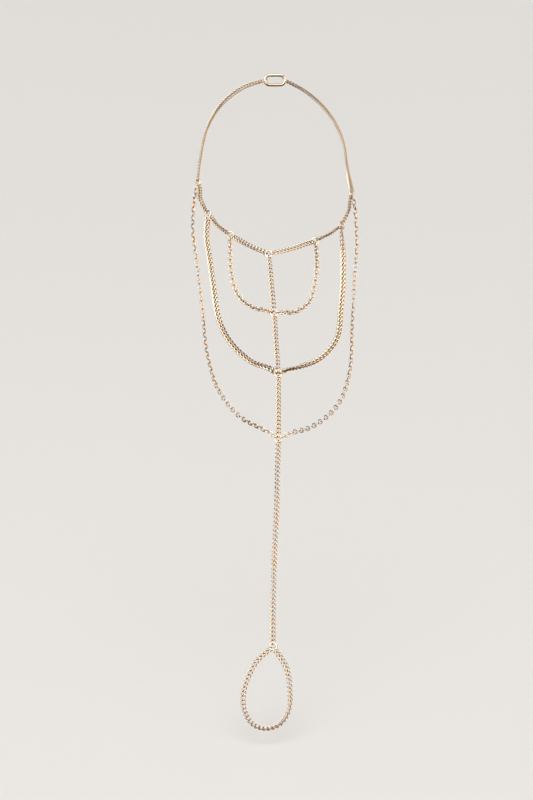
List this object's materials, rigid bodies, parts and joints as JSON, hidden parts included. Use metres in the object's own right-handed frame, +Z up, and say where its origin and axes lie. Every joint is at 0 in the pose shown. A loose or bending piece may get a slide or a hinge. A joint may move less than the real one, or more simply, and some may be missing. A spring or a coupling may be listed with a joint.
{
  "type": "barefoot sandal",
  "caption": "Barefoot sandal of fine gold-tone chain: an anklet that dips to a V in front, a chain down the instep with drapes on both sides, and a loop round a toe.",
  "frame": {"origin": "middle of the ankle that the anklet goes round, level with the jump rings at its sides", "axes": "+Z up the leg, -Y towards the toes, +X to the right as seen from the toes"},
  "size_m": [0.064, 0.1796, 0.2027],
  "materials": {
    "anklet": "polished pale gold plate",
    "instep_chain": "polished pale gold plate",
    "inner_drape": "polished pale gold plate",
    "middle_drape": "polished pale gold plate",
    "outer_drape": "polished pale gold plate",
    "jump_ring": "polished pale gold plate",
    "clasp": "polished pale gold plate"
  },
  "bodies": {
    "root": {"ankle_chain_left": "anklet", "ankle_chain_right": "anklet", "instep_chain_upper": "instep_chain", "instep_chain_lower": "instep_chain", "inner_drape_left": "inner_drape", "inner_drape_right": "inner_drape", "middle_drape_left": "middle_drape", "middle_drape_right": "middle_drape", "outer_drape_left": "outer_drape", "outer_drape_right": "outer_drape", "toe_chain": "instep_chain", "front_ring": "jump_ring", "inner_ring_left": "jump_ring", "inner_ring_right": "jump_ring", "middle_ring_left": "jump_ring", "middle_ring_right": "jump_ring", "outer_ring_left": "jump_ring", "outer_ring_right": "jump_ring", "instep_ring_top": "jump_ring", "instep_ring_middle": "jump_ring", "instep_ring_low": "jump_ring", "toe_ring": "jump_ring", "clasp": "clasp"}
  },
  "joints": []
}
